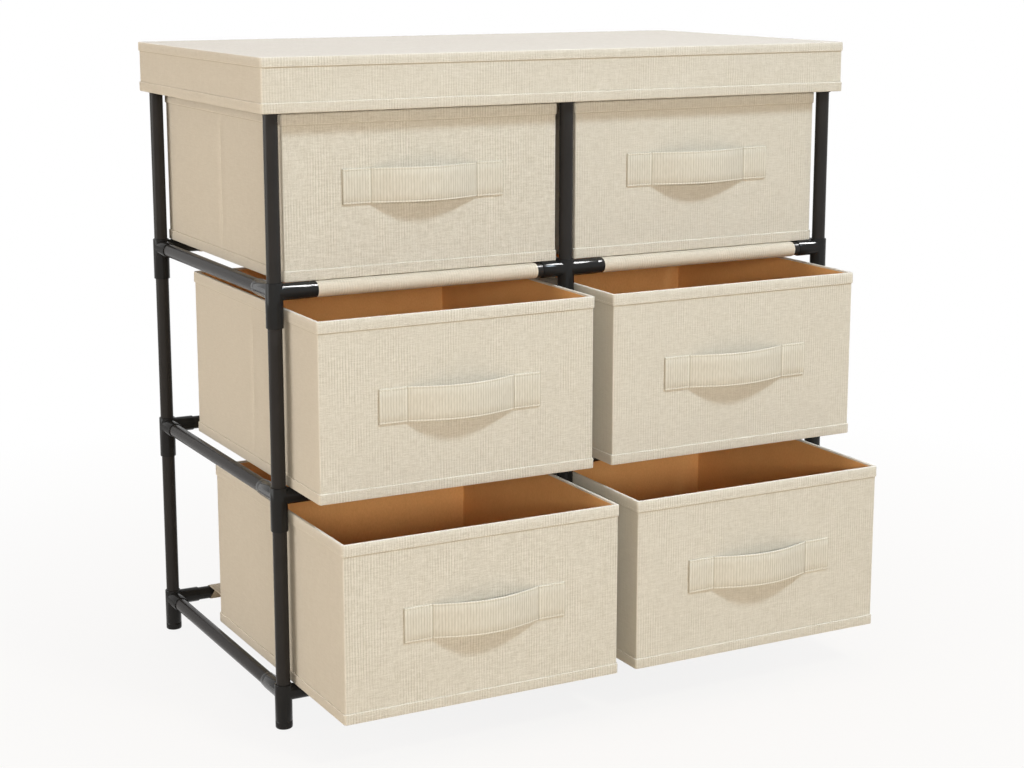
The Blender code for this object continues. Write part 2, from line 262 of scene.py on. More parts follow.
STUDIO_MIDDLE = Vector((0.0, 0.0, 0.28))
AMBIENT = 0.18
AMBIENT_TINT = (1.0, 0.78, 0.54, 1.0)
FLOOR_HALF = 12.0
FLOOR_COLOUR = (0.52, 0.42, 0.30, 1.0)
FLOOR_WHITE_FROM = 0.5
FLOOR_WHITE_START = 0.92
FLOOR_WHITE_RISE = 0.16

Lamp = namedtuple("Lamp", "name place size power tint falls shines", defaults=(True, True))
COOL, WARM, PALE_WARM = (0.74, 0.88, 1.0), (0.98, 0.92, 0.84), (1.0, 0.94, 0.89)
PALE_ROSE, PALE_BLUE, BLUISH = (0.93, 0.87, 0.97), (0.95, 0.97, 1.0), (0.92, 0.97, 1.0)
WHITE, SKY = (1.0, 1.0, 1.0), (0.95, 1.0, 1.0)
LAMPS = (
    Lamp("key", (0.92, -2.28, 3.43), (0.6, 0.6), 94, COOL),
    Lamp("front_fill", (-1.20, -3.20, 1.00), (1.5, 0.42), 58.5, WARM, shines=False),
    Lamp("top", (0.0, 0.1, 2.6), (1.4, 1.0), 24.5, PALE_ROSE, shines=False),
    Lamp("left_fill", (-2.25, 0.30, 0.55), (1.2, 1.2), 21.5, PALE_WARM, shines=False),
    Lamp("right_fill", (2.25, 0.1, 0.9), (1.2, 1.2), 12, PALE_BLUE, shines=False),
    Lamp("back_fill", (0.5, 2.4, 1.2), (1.2, 1.2), 12, BLUISH, shines=False),
    Lamp("shine", (1.15, -0.37, 2.50), (1.1, 1.2), 430, WHITE, falls=False),
    Lamp("side_shine", (-2.40, 0.80, 0.55), (1.6, 1.8), 34, SKY, falls=False),
)


def make_camera():
    data = bpy.data.cameras.new("camera")
    data.sensor_width = SENSOR_WIDTH
    data.lens = CAMERA_LENS
    data.shift_y = CAMERA_SHIFT
    camera = bpy.data.objects.new("camera", data)
    camera.location = CAMERA_PLACE
    camera.rotation_euler = (math.radians(90 - CAMERA_PITCH), 0, math.radians(CAMERA_AZIMUTH))
    bpy.context.scene.collection.objects.link(camera)
    bpy.context.scene.camera = camera


def make_softbox(lamp):
    data = bpy.data.lights.new(lamp.name, "AREA")
    data.shape = "RECTANGLE"
    data.size, data.size_y = lamp.size
    data.energy = lamp.power
    data.color = lamp.tint
    softbox = bpy.data.objects.new(lamp.name, data)
    softbox.location = lamp.place
    aim = STUDIO_MIDDLE - Vector(lamp.place)
    softbox.rotation_euler = aim.to_track_quat("-Z", "Y").to_euler()
    softbox.visible_diffuse = lamp.falls
    softbox.visible_glossy = lamp.shines
    bpy.context.scene.collection.objects.link(softbox)


# Node trees


class Wire:
    """A socket that can stand in a sum. Each sign between two of them adds a Math node."""

    def __init__(self, tree, socket):
        self.tree = tree
        self.socket = socket

    def reckon(self, operation, *values):
        return self.tree.node("ShaderNodeMath", {"operation": operation}, dict(enumerate(values)))

    def __add__(self, other):
        return self.reckon("ADD", self, other)

    def __sub__(self, other):
        return self.reckon("SUBTRACT", self, other)

    def __rsub__(self, other):
        return self.reckon("SUBTRACT", other, self)

    def __mul__(self, other):
        return self.reckon("MULTIPLY", self, other)

    __radd__ = __add__
    __rmul__ = __mul__

    def sine(self):
        return self.reckon("SINE", self)

    def size(self):
        return self.reckon("ABSOLUTE", self)

    def kept(self):
        """Held between 0 and 1."""
        return self.reckon("MINIMUM", self.reckon("MAXIMUM", self, 0.0), 1.0)

    def swing(self, amount):
        """A noise between 0 and 1 as a change up and down by half the amount."""
        return (self - 0.5) * amount


class Tree:
    """A node tree whose nodes all come from one method."""

    def __init__(self, owner):
        owner.use_nodes = True
        self.nodes = owner.node_tree.nodes
        self.links = owner.node_tree.links

    def node(self, kind, settings=None, sockets=None, out=0):
        made = self.nodes.new(kind)
        for key, value in (settings or {}).items():
            setattr(made, key, value)
        self.feed(made, sockets or {})
        return Wire(self, made.outputs[out])

    def feed(self, node, sockets):
        for key, value in sockets.items():
            if isinstance(value, Wire):
                self.links.new(value.socket, node.inputs[key])
            else:
                node.inputs[key].default_value = value

    def mix(self, factor, low, high):
        """From one colour to the other."""
        settings = {"data_type": "RGBA"}
        return self.node("ShaderNodeMix", settings, {0: factor, 6: low, 7: high}, out=2)

    def stretched(self, vector, scale):
        """A vector times (x, y, z) factors."""
        return self.node("ShaderNodeVectorMath", {"operation": "MULTIPLY"}, {0: vector, 1: scale})

    def noise(self, vector, scale=1.0, detail=2.0, roughness=0.5):
        sockets = {"Vector": vector, "Scale": scale, "Detail": detail, "Roughness": roughness}
        return self.node("ShaderNodeTexNoise", None, sockets)

    def spots(self, thread, per_metre, detail=1.0, roughness=0.5):
        """Noise that lies along the threads, with so many spots per metre across and along."""
        return self.noise(self.stretched(thread, (*per_metre, 1.0)), 1.0, detail, roughness)

    def bump(self, height, distance, strength):
        sockets = {"Height": height, "Distance": distance, "Strength": strength}
        return self.node("ShaderNodeBump", None, sockets)

    def named(self, name, out="Fac"):
        return self.node("ShaderNodeAttribute", {"attribute_name": name}, out=out)


def colour(red, green, blue):
    return (red, green, blue, 1.0)


# Finishes, each with its light and its dark colour

COLOURS = {
    "linen": (colour(0.730, 0.698, 0.617), colour(0.533, 0.495, 0.412)),
    "shelf_linen": (colour(0.760, 0.697, 0.585), colour(0.555, 0.494, 0.390)),
    "stitch": (colour(0.722, 0.690, 0.604), colour(0.624, 0.588, 0.498)),
    "webbing": (colour(0.722, 0.692, 0.604), colour(0.505, 0.466, 0.382)),
    "lining": (colour(0.850, 0.490, 0.203), colour(0.690, 0.362, 0.137)),
    "board": (colour(0.46, 0.39, 0.30), colour(0.24, 0.19, 0.14)),
    "satin_tube": (colour(0.032, 0.030, 0.029), colour(0.023, 0.0215, 0.0205)),
    "gloss_plastic": (colour(0.019, 0.019, 0.019), colour(0.014, 0.014, 0.014)),
}


def start_finish(name):
    material = bpy.data.materials.new(name)
    tree = Tree(material)
    return material, tree, tree.nodes["Principled BSDF"]


def make_linen(name):
    """Woven cloth: ribs that come and go, uneven threads both ways, a painted highlight on its
    folds and painted shade in its grooves.
    """
    material, tree, shader = start_finish(name)
    thread = tree.named("thread", "Vector")
    worn, groove = tree.named("worn"), tree.named("groove")
    calm = 1 - tree.named("quiet") * QUIET_SHARE
    across = tree.node("ShaderNodeSeparateXYZ", None, {0: thread}, out=0)
    drift = tree.spots(thread, RIB_DRIFT)
    ribs = (across * (math.tau / LINEN_RIB_PITCH) + drift * RIB_WANDER).sine()
    ribs = ribs * ((tree.spots(thread, RIB_PATCHES) - PATCH_FROM) * PATCH_RISE).kept()
    warp, weft, grain = (tree.spots(thread, size) for size in (WARP, WEFT, GRAIN))
    cloud = tree.spots(thread, CLOUD, detail=2.0)
    show, lift = LINEN_SHOW, LINEN_LIFT
    weave = ribs * show["rib"] + warp.swing(show["warp"]) + weft.swing(show["weft"])
    weave = (weave + grain.swing(show["grain"])) * calm
    # Painted highlight on folds and edges, painted shade in grooves
    painted_edge_light = worn * LINEN_PAINTED_EDGES["worn"] - groove * LINEN_PAINTED_EDGES["groove"]
    tone = (0.5 + weave + cloud.swing(show["cloud"]) + painted_edge_light).kept()
    height = (ribs * lift["rib"] + warp * lift["warp"] + weft * lift["weft"] + grain) * calm
    light, dark = COLOURS[name]
    sockets = {
        "Base Color": tree.mix(tone, dark, light),
        "Normal": tree.bump(height, distance=0.00022, strength=0.6),
        "Roughness": 0.85 + warp.swing(0.12),
        "Specular IOR Level": 0.04,
    }
    tree.feed(shader, sockets)
    return material


def make_webbing():
    """Flat strap cloth: ribs across it, a plain selvedge along each edge, with a painted highlight
    on the selvedges and sewn lines and painted shade beside them.
    """
    material, tree, shader = start_finish("webbing")
    thread = tree.named("thread", "Vector")
    worn, groove = tree.named("worn"), tree.named("groove")
    grain = tree.spots(thread, WEBBING_GRAIN, detail=3.0)
    across = tree.node("ShaderNodeSeparateXYZ", None, {0: thread}, out=0)
    rib = (across * (math.pi / RIB_PITCH)).sine().size()
    show = WEBBING_SHOW
    tone = WEBBING_BASE + rib * show["rib"] + grain.swing(show["grain"])
    # Painted highlight on selvedges and sewn lines, painted shade beside them
    tone = (tone + worn * show["worn"] - groove * show["groove"]).kept()
    light, dark = COLOURS["webbing"]
    sockets = {
        "Base Color": tree.mix(tone, dark, light),
        "Normal": tree.bump(grain, distance=0.0002, strength=0.5),
        "Roughness": 0.78 + grain.swing(0.15),
        "Specular IOR Level": 0.05,
    }
    tree.feed(shader, sockets)
    return material


def make_lining():
    """Brown cloth with fine upright threads, a little mottled."""
    material, tree, shader = start_finish("lining")
    thread = tree.named("thread", "Vector")
    fibre = tree.spots(thread, LINING_FIBRE, detail=4.0, roughness=0.65)
    cloud = tree.spots(thread, LINING_CLOUD, detail=3.0)
    warp = tree.spots(thread, LINING_WARP)
    show = LINING_SHOW
    tone = 0.5 + fibre.swing(show["fibre"]) + warp.swing(show["warp"]) + cloud.swing(show["cloud"])
    light, dark = COLOURS["lining"]
    sockets = {
        "Base Color": tree.mix(tone.kept(), dark, light),
        "Normal": tree.bump(fibre + warp, distance=0.0002, strength=0.4),
        "Roughness": 0.9 + fibre.swing(0.1),
        "Specular IOR Level": 0.05,
    }
    tree.feed(shader, sockets)
    return material


def make_coated(name, roughness, level, grain_size):
    """A black coat, even from afar, with a fine grain in its shine."""
    material, tree, shader = start_finish(name)
    place = tree.node("ShaderNodeTexCoord", out="Object")
    grain = tree.noise(place, scale=1 / grain_size, detail=3.0)
    cloud = tree.noise(place, scale=45.0, detail=2.0)
    light, dark = COLOURS[name]
    sockets = {
        "Base Color": tree.mix(cloud, dark, light),
        "Roughness": roughness + cloud.swing(0.10) + grain.swing(0.06),
        "Normal": tree.bump(grain, distance=grain_size * 0.04, strength=0.25),
        "Specular IOR Level": level,
    }
    tree.feed(shader, sockets)
    return material


def make_board():
    """Grey-brown pressed board with pale flecks."""
    material, tree, shader = start_finish("board")
    place = tree.node("ShaderNodeTexCoord", out="Object")
    fleck = tree.noise(place, scale=420.0, detail=4.0, roughness=0.7)
    cloud = tree.noise(place, scale=18.0, detail=2.0)
    tone = (0.5 + fleck.swing(1.6) + cloud.swing(0.5)).kept()
    light, dark = COLOURS["board"]
    tree.feed(shader, {"Base Color": tree.mix(tone, dark, light), "Roughness": 0.9 - fleck * 0.1})
    return material


def make_finishes():
    return {
        "linen": make_linen("linen"),
        "shelf": make_linen("shelf_linen"),
        "stitch": make_linen("stitch"),
        "webbing": make_webbing(),
        "lining": make_lining(),
        "board": make_board(),
        "tube": make_coated("satin_tube", roughness=0.24, level=0.10, grain_size=0.0009),
        "plastic": make_coated("gloss_plastic", roughness=0.12, level=0.13, grain_size=0.0006),
    }


FINISHES = make_finishes()
FINISH_OF_SLOT = {
    "frame_tube": "tube",
    "connector": "plastic",
    "linen": "linen",
    "webbing": "webbing",
    "board": "board",
    "lining": "lining",
}


# Pieces


def place_piece(name, mesh, slot, body, nodes=(), at=(0.0, 0.0, 0.0), finish=None):
    """Links a mesh as a piece that rides on a body and stands for CAD nodes."""
    piece = bpy.data.objects.new(name, mesh)
    piece.location = at
    bpy.context.scene.collection.objects.link(piece)
    if not mesh.materials:
        mesh.materials.append(FINISHES[finish or FINISH_OF_SLOT[slot]])
    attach(piece, body)
    if nodes:
        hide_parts(*nodes)
    return piece


def smooth(mesh):
    mesh.shade_smooth()
    mesh.set_sharp_from_angle(angle=SHARP_ANGLE)
    return mesh


def facing_out(mesh):
    """Turns a closed mesh's faces outwards, drops its slivers and parts its many-sided faces."""
    bm = bmesh.new()
    bm.from_mesh(mesh)
    bmesh.ops.remove_doubles(bm, verts=bm.verts, dist=SHORTEST_EDGE)
    bmesh.ops.dissolve_degenerate(bm, dist=SHORTEST_EDGE, edges=bm.edges)
    bmesh.ops.recalc_face_normals(bm, faces=bm.faces)
    bmesh.ops.triangulate(bm, faces=[face for face in bm.faces if len(face.verts) > 4])
    bm.to_mesh(mesh)
    bm.free()
    return mesh


# Round pieces

ALONG = {
    "x": Matrix.Rotation(math.radians(90), 4, "Y"),
    "y": Matrix.Rotation(math.radians(-90), 4, "X"),
    "z": Matrix.Identity(4),
}


def turned(name, profile, axis="z", closed=False):
    """Revolves (radius, place along the axis) pairs, as a rod or as a closed ring."""
    angles = np.arange(ROUND_SIDES) * math.tau / ROUND_SIDES
    points = [
        (radius * math.cos(angle), radius * math.sin(angle), place)
        for radius, place in profile
        for angle in angles
    ]
    count = len(profile)
    pairs = [(i, (i + 1) % count) for i in range(count if closed else count - 1)]
    faces = []
    for low, high in pairs:
        for side in range(ROUND_SIDES):
            next_side = (side + 1) % ROUND_SIDES
            a, b = low * ROUND_SIDES, high * ROUND_SIDES
            faces.append((a + side, a + next_side, b + next_side, b + side))
    if not closed:
        faces.append(tuple(range(ROUND_SIDES)))
        faces.append(tuple(range((count - 1) * ROUND_SIDES, count * ROUND_SIDES)))
    mesh = bpy.data.meshes.new(name)
    mesh.from_pydata(points, [], faces)
    mesh.transform(ALONG[axis])
    return facing_out(mesh)


def rod_profile(radius, start, end, rounding):
    """A rod with rounded ends, from start to end in either direction."""
    way = math.copysign(rounding, end - start)
    nick = rounding * NICK_SHARE
    step = math.copysign(nick, end - start)
    return (
        (radius - rounding, start),
        (radius - nick, start + step),
        (radius, start + way),
        (radius, end - way),
        (radius - nick, end - step),
        (radius - rounding, end),
    )


def tube(name, start, end, axis):
    """A hollow rail or post with a small round at each cut end."""
    profile = (
        (TUBE_INSIDE, start + TUBE_EDGE),
        (TUBE_INSIDE + TUBE_EDGE, start),
        (TUBE_RADIUS - TUBE_EDGE, start),
        (TUBE_RADIUS, start + TUBE_EDGE),
        (TUBE_RADIUS, end - TUBE_EDGE),
        (TUBE_RADIUS - TUBE_EDGE, end),
        (TUBE_INSIDE + TUBE_EDGE, end),
        (TUBE_INSIDE, end - TUBE_EDGE),
    )
    return smooth(turned(name, profile, axis, closed=True))


def combine(name, base, others, operation):
    """Joins meshes to a base mesh, or cuts them from it."""
    links = bpy.context.scene.collection.objects
    helpers = [bpy.data.objects.new(name, base)]
    for mesh in others:
        helpers.append(bpy.data.objects.new(mesh.name, mesh))
        modifier = helpers[0].modifiers.new(operation.lower(), "BOOLEAN")
        modifier.operation = operation
        modifier.solver = "EXACT"
        modifier.object = helpers[-1]
    for helper in helpers:
        links.link(helper)
    graph = bpy.context.evaluated_depsgraph_get()
    result = bpy.data.meshes.new_from_object(helpers[0].evaluated_get(graph))
    for helper in helpers:
        bpy.data.objects.remove(helper)
    result.name = name
    return result


def connector_mesh(name, node, at, foot):
    """A sleeve round the post and a socket arm for each rail, as long as the CAD node's."""
    low, high = (Vector(corner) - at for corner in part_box(node))
    arms = []
    bores = []
    for axis, reaches in (("x", (low.x, high.x)), ("y", (low.y, high.y))):
        for reach in reaches:
            if abs(reach) < SLEEVE_RADIUS + OVERRUN:
                continue
            way = math.copysign(1, reach)
            shoulder = reach - way * COLLAR_LENGTH if abs(reach) > LONG_ARM_FROM else reach
            arms.append(turned("arm", rod_profile(ARM_RADIUS, 0.0, shoulder, LIP_ROUND), axis))
            if shoulder != reach:
                collar_start = shoulder - way * OVERRUN
                collar = rod_profile(COLLAR_RADIUS, collar_start, reach, COLLAR_ROUND)
                arms.append(turned("collar", collar, axis))
            bore = ((BORE_RADIUS, way * SOCKET_START), (BORE_RADIUS, reach + way * OVERRUN))
            bores.append(turned("bore", bore, axis))
    profile = list(rod_profile(SLEEVE_RADIUS, low.z, high.z, LIP_ROUND))
    bore_start = low.z - OVERRUN
    if foot:
        bore_start = low.z + FOOT_FLOOR
        groove = low.z + FOOT_GROOVE_HEIGHT
        curve = [(SLEEVE_RADIUS - FOOT_ROUND * x, low.z + FOOT_ROUND * z) for x, z in FOOT_CURVE]
        profile[:3] = [
            *curve,
            (SLEEVE_RADIUS, groove - FOOT_GROOVE_HALF),
            (SLEEVE_RADIUS - FOOT_GROOVE_DEPTH, groove),
            (SLEEVE_RADIUS, groove + FOOT_GROOVE_HALF),
        ]
    sleeve = turned("sleeve", profile)
    bores.append(turned("bore", ((BORE_RADIUS, bore_start), (BORE_RADIUS, high.z + OVERRUN))))
    joined = combine(name, sleeve, arms, "UNION")
    return smooth(facing_out(combine(name, joined, bores, "DIFFERENCE")))


def dress_frame():
    """Posts, connectors and rails, each on the place of its CAD node."""
    for row in ROWS:
        for column in COLUMNS:
            node = f"post_{row}_{column}"
            low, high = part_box(node)
            at = (POST_X[column], POST_Y[row], 0.0)
            mesh = tube(f"{node}_tube", low.z, high.z, "z")
            place_piece(f"{node}_tube", mesh, "frame_tube", "frame", [node], at)
            for level in LEVELS:
                node = f"connector_{level}_{row}_{column}"
                at = Vector((POST_X[column], POST_Y[row], RAIL_Z[level]))
                mesh = connector_mesh(f"{node}_moulding", node, at, level == "bottom")
                place_piece(f"{node}_moulding", mesh, "connector", "frame", [node], at)
    for level in LEVELS:
        for column in COLUMNS:
            node = f"depth_rail_{level}_{column}"
            low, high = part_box(node)
            at = (POST_X[column], 0.0, RAIL_Z[level])
            mesh = tube(f"{node}_tube", low.y, high.y, "y")
            place_piece(f"{node}_tube", mesh, "frame_tube", "frame", [node], at)


# Sewn pieces

# After its height, a ring holds its share of painted highlight on folds and edges, then its share
# of painted shade in grooves
Ring = namedtuple("Ring", "inset z worn groove loose", defaults=(0.0, 0.0, 0.0))
Outline = namedtuple("Outline", "points outward side share")


def outline(box, radius, shares):
    """A rounded rectangle seen from above, anticlockwise from the left end of the front."""
    x0, x1, y0, y1 = box
    a, b, c, d = x0 + radius, x1 - radius, y0 + radius, y1 - radius
    sides = (
        ((a, y0), (b, y0), (0, -1), -90, (b, c)),
        ((x1, c), (x1, d), (1, 0), 0, (b, d)),
        ((b, y1), (a, y1), (0, 1), 90, (a, d)),
        ((x0, d), (x0, c), (-1, 0), 180, (a, c)),
    )
    points, outward, side_of, share_of = [], [], [], []
    for side, (start, end, normal, angle, middle) in enumerate(sides):
        for share in shares[side % 2]:
            points.append([first + (last - first) * share for first, last in zip(start, end)])
            outward.append(normal)
            side_of.append(side)
            share_of.append(share)
        for step in range(1, CORNER_STEPS):
            turn = math.radians(angle + 90 * step / CORNER_STEPS)
            way = (math.cos(turn), math.sin(turn))
            points.append((middle[0] + radius * way[0], middle[1] + radius * way[1]))
            outward.append(way)
            side_of.append(-1)
            share_of.append(0.0)
    return Outline(*(np.array(values, float) for values in (points, outward, side_of, share_of)))


def sway(across, along, seed):
    """An uneven swell between about -1 and 1 over a panel."""
    slow = np.sin(SLOW_WAVES[0] * across + SLOW_STARTS[0] * seed)
    slow = slow * np.cos(SLOW_WAVES[1] * along - SLOW_STARTS[1] * seed)
    quick = np.sin(QUICK_WAVES[0] * across - QUICK_WAVES[1] * along + QUICK_START * seed)
    return (slow + QUICK_SHARE * quick) / (1 + QUICK_SHARE)


def side_shares(crease):
    """Places along a side from 0 to 1, with more round the middle if it has a fold there."""
    shares = list(np.linspace(0, 1, SIDE_STEPS + 1))
    if crease:
        shares = [share for share in shares if abs(share - 0.5) > FOLD_CLEARANCE * crease]
        shares += [0.5 + place * crease for place in FOLD_PLACES]
    return sorted(shares)


def lay_threads(mesh, seed, hush=0.0):
    """Gives each corner its place in the weave of its face's panel, and how quiet the weave is."""
    corner_vertex = np.empty(len(mesh.loops), np.int32)
    mesh.loops.foreach_get("vertex_index", corner_vertex)
    points = np.empty(len(mesh.vertices) * 3, np.float32)
    mesh.vertices.foreach_get("co", points)
    normals = np.empty(len(mesh.polygons) * 3, np.float32)
    mesh.polygons.foreach_get("normal", normals)
    counts = np.empty(len(mesh.polygons), np.int32)
    mesh.polygons.foreach_get("loop_total", counts)
    at = points.reshape(-1, 3)[corner_vertex]
    facing = np.repeat(np.abs(normals.reshape(-1, 3)).argmax(1), counts)
    across = np.where(facing == 0, at[:, 1], at[:, 0])
    along = np.where(facing == 2, at[:, 1], at[:, 2])
    threads = np.stack([across, along, np.full(len(at), seed * THREAD_SHIFT)], 1)
    thread = mesh.attributes.new("thread", "FLOAT_VECTOR", "CORNER")
    thread.data.foreach_set("vector", threads.astype(np.float32).ravel())
    quiet = np.maximum(np.choose(facing, QUIET_BY_AXIS), hush).astype(np.float32)
    mesh.attributes.new("quiet", "FLOAT", "CORNER").data.foreach_set("value", quiet)


def sewn_mesh(name, points, faces, worn, groove, seed, hush=0.0):
    mesh = bpy.data.meshes.new(name)
    mesh.from_pydata([tuple(p) for p in points], [], faces)
    # The painted highlight and the painted shade, point by point
    for attribute, values in (("worn", worn), ("groove", groove)):
        values = np.asarray(values, np.float32)
        mesh.attributes.new(attribute, "FLOAT", "POINT").data.foreach_set("value", values)
    facing_out(mesh)
    lay_threads(mesh, seed, hush)
    return smooth(mesh)


def walls_between(loops, size):
    """Faces between each closed loop of points and the next."""
    faces = []
    for low in range(loops - 1):
        a, b = low * size, (low + 1) * size
        faces += [(a + i, a + (i + 1) % size, b + (i + 1) % size, b + i) for i in range(size)]
    return faces


def skin(loops, size):
    """The faces of a closed body: the walls between its loops, and a lid on the first and last."""
    lids = [tuple(range(size)), tuple(range((loops - 1) * size, loops * size))]
    return walls_between(loops, size) + lids


def shell(name, box, radius, rings, seed, swell=0.0, crease=0.0, top_swell=0.0, hush=0.0):
    """A closed sewn shell: rounded rectangles, each set in from the box, from first to last."""
    x0, x1, y0, y1 = box
    depth = y1 - y0
    shares = (side_shares(0.0), side_shares(crease / depth))
    points, worn, groove = [], [], []
    for ring in rings:
        inner = (x0 + ring.inset, x1 - ring.inset, y0 + ring.inset, y1 - ring.inset)
        line = outline(inner, max(radius - ring.inset, SMALLEST_RADIUS), shares)
        rise = np.clip(SWELL_RISE * line.share * (1 - line.share), 0, 1)
        away = np.where(line.side < 0, 0.0, rise)
        across = np.where(line.side % 2 == 0, line.points[:, 0], line.points[:, 1])
        out = ring.loose * swell * away * sway(across, ring.z, seed + line.side)
        if crease:
            from_fold = np.abs(line.share - 0.5) * depth
            fold = (line.side % 2 == 1) & (from_fold < crease * FOLD_REACH)
            dent = CREASE_DEPTH * (1 - from_fold / crease) * min(ring.loose * FOLD_RISE, 1)
            out = out - np.where(fold, dent, 0.0)
        flat = line.points + line.outward * out[:, None]
        z = np.full(len(flat), ring.z)
        if top_swell and ring.inset > radius:
            full = min(ring.inset / TOP_SWELL_FROM, 1)
            z = z + top_swell * full * sway(flat[:, 0], flat[:, 1], seed)
        points.append(np.column_stack([flat, z]))
        # The rounded corners of the panel rings get a painted highlight
        corner = np.where(line.side < 0, CORNER_HIGHLIGHT, 0.0)
        worn.append(np.clip(np.maximum(ring.worn, corner * (ring.loose > 0)), 0, 1))
        groove.append(np.full(len(flat), ring.groove))
    faces = skin(len(rings), len(points[0]))
    points, worn, groove = (np.concatenate(values) for values in (points, worn, groove))
    return sewn_mesh(name, points, faces, worn, groove, seed, hush)


def band_edge(z, way, groove):
    """Rings that step from a proud band down to the panel at height z. way is 1 going up. The
    band's fold gets a painted highlight, and the panel just beside it painted shade.
    """
    return [
        Ring(0.0, z - way * 3 * FOLD_ROUND, 0.1),
        Ring(0.0, z - way * FOLD_ROUND, 1.0),
        Ring(FOLD_ROUND, z, 0.8),
        Ring(BAND_PROUD, z + way * 0.5 * FOLD_ROUND, 0.0, groove),
        Ring(BAND_PROUD, z + way * 1.5 * FOLD_ROUND, 0.0, groove),
        Ring(BAND_PROUD, z + way * 3 * FOLD_ROUND),
    ]


def banded_wall(low, high, lower_band, upper_band):
    """The outside of a wall between two proud bands, from just above low to just under high. Its
    folded bottom and top edges get a painted highlight.
    """
    start = low + lower_band
    end = high - upper_band
    rings = [
        Ring(EDGE_ROUND, low, 0.3),
        Ring(EDGE_NICK, low + EDGE_NICK, 0.8),
        Ring(0.0, low + EDGE_ROUND, 0.3),
        Ring(0.0, low + lower_band * 0.5),
    ]
    rings += band_edge(start, 1, 0.3)
    for step in range(1, PANEL_STEPS):
        share = step / PANEL_STEPS
        loose = math.sin(math.pi * share)
        rings.append(Ring(BAND_PROUD, start + (end - start) * share, loose=loose))
    rings += reversed(band_edge(end, -1, 1.0))
    rings += [
        Ring(0.0, high - upper_band * 0.5),
        Ring(0.0, high - EDGE_ROUND, 0.4),
        Ring(EDGE_NICK, high - EDGE_NICK, 1.0),
        Ring(EDGE_ROUND, high, 1.0),
    ]
    return rings


# Stitches


def stitch_row(path, outward):
    """Places, directions and outward directions of the stitches along a line of points."""
    path = np.asarray(path, float)
    outward = np.asarray(outward, float)
    steps = np.linalg.norm(np.diff(path, axis=0), axis=1)
    reach = np.concatenate([[0.0], np.cumsum(steps)])
    count = max(int(reach[-1] / STITCH_PITCH), 1)
    middles = (np.arange(count) + 0.5) * reach[-1] / count

    def along(values, places):
        return np.column_stack([np.interp(places, reach, column) for column in values.T])

    ahead = along(path, middles + STITCH_LENGTH / 4) - along(path, middles - STITCH_LENGTH / 4)
    ahead /= np.linalg.norm(ahead, axis=1)[:, None]
    return along(path, middles), ahead, along(outward, middles)


def stitches_mesh(name, rows, seed):
    """Short rounded threads, one closed body each."""
    around = np.arange(STITCH_SIDES) * math.tau / STITCH_SIDES
    points, faces = [], []
    for places, ahead, outward in rows:
        aside = np.cross(outward, ahead)
        for at, way, out, side in zip(places, ahead, outward, aside):
            first = len(points)
            sunk = at - out * STITCH_RADIUS * STITCH_SINK
            points.append(sunk - way * STITCH_LENGTH / 2)
            for share, girth in STITCH_WAISTS:
                for angle in around:
                    spoke = side * math.cos(angle) + out * math.sin(angle)
                    reach = way * STITCH_LENGTH * share
                    points.append(at + reach + spoke * STITCH_RADIUS * girth)
            points.append(sunk + way * STITCH_LENGTH / 2)
            last = len(points) - 1
            for i in range(STITCH_SIDES):
                j = (i + 1) % STITCH_SIDES
                faces.append((first, first + 1 + j, first + 1 + i))
                faces.append((last, last - STITCH_SIDES + i, last - STITCH_SIDES + j))
                for waist in range(len(STITCH_WAISTS) - 1):
                    a = first + 1 + waist * STITCH_SIDES
                    b = a + STITCH_SIDES
                    faces.append((a + i, a + j, b + j, b + i))
    mesh = bpy.data.meshes.new(name)
    mesh.from_pydata([tuple(p) for p in points], [], faces)
    for attribute in ("worn", "groove"):
        mesh.attributes.new(attribute, "FLOAT", "POINT")
    lay_threads(mesh, seed)
    mesh.shade_smooth()
    mesh.materials.append(FINISHES["stitch"])
    return mesh


def ring_of_stitches(box, radius, z):
    """A row of stitches round a shell."""
    line = outline(box, radius, (side_shares(0.0),) * 2)
    path = np.column_stack([line.points, np.full(len(line.points), z)])
    away = np.column_stack([line.outward, np.zeros(len(line.points))])
    return stitch_row(np.vstack([path, path[:1]]), np.vstack([away, away[:1]]))


# Cover


def dress_cover():
    low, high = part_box("top_cover")
    box = (low.x, high.x, low.y, high.y)
    inside = BAND_PROUD + COVER_CLOTH
    ceiling = high.z - COVER_CLOTH
    rings = [
        Ring(CENTRE_INSET, ceiling),
        Ring(inside + EDGE_ROUND, ceiling),
        Ring(inside, ceiling - EDGE_ROUND),
        Ring(inside, low.z + EDGE_ROUND),
        Ring(inside - EDGE_NICK, low.z + EDGE_NICK),
        Ring(inside - EDGE_ROUND, low.z),
    ]
    rings += banded_wall(low.z, high.z, COVER_LOWER_BAND, COVER_TOP_BAND)
    rings += [Ring(inset, high.z) for inset in COVER_TOP_INSETS]
    mesh = shell(
        "cover_cloth",
        box,
        COVER_CORNER_RADIUS,
        rings,
        COVER_SEED,
        swell=COVER_SWAY,
        top_swell=COVER_SWAY,
        hush=WEAVE_HUSH["cover"],
    )
    place_piece("cover_cloth", mesh, "linen", "frame", ["top_cover"])
    heights = (
        low.z + COVER_LOWER_BAND - STITCH_FROM_EDGE,
        high.z - COVER_TOP_BAND + STITCH_FROM_EDGE,
    )
    rows = [ring_of_stitches(box, COVER_CORNER_RADIUS, z) for z in heights]
    mesh = stitches_mesh("cover_stitches", rows, COVER_SEED)
    place_piece("cover_stitches", mesh, "linen", "frame")


# Drawers


def strap_bow(x, half):
    """How far the strap stands off the panel at x."""
    seam = half - STRAP_PATCH
    return STRAP_BULGE * math.cos(math.pi / 2 * x / seam) if abs(x) < seam else 0.0


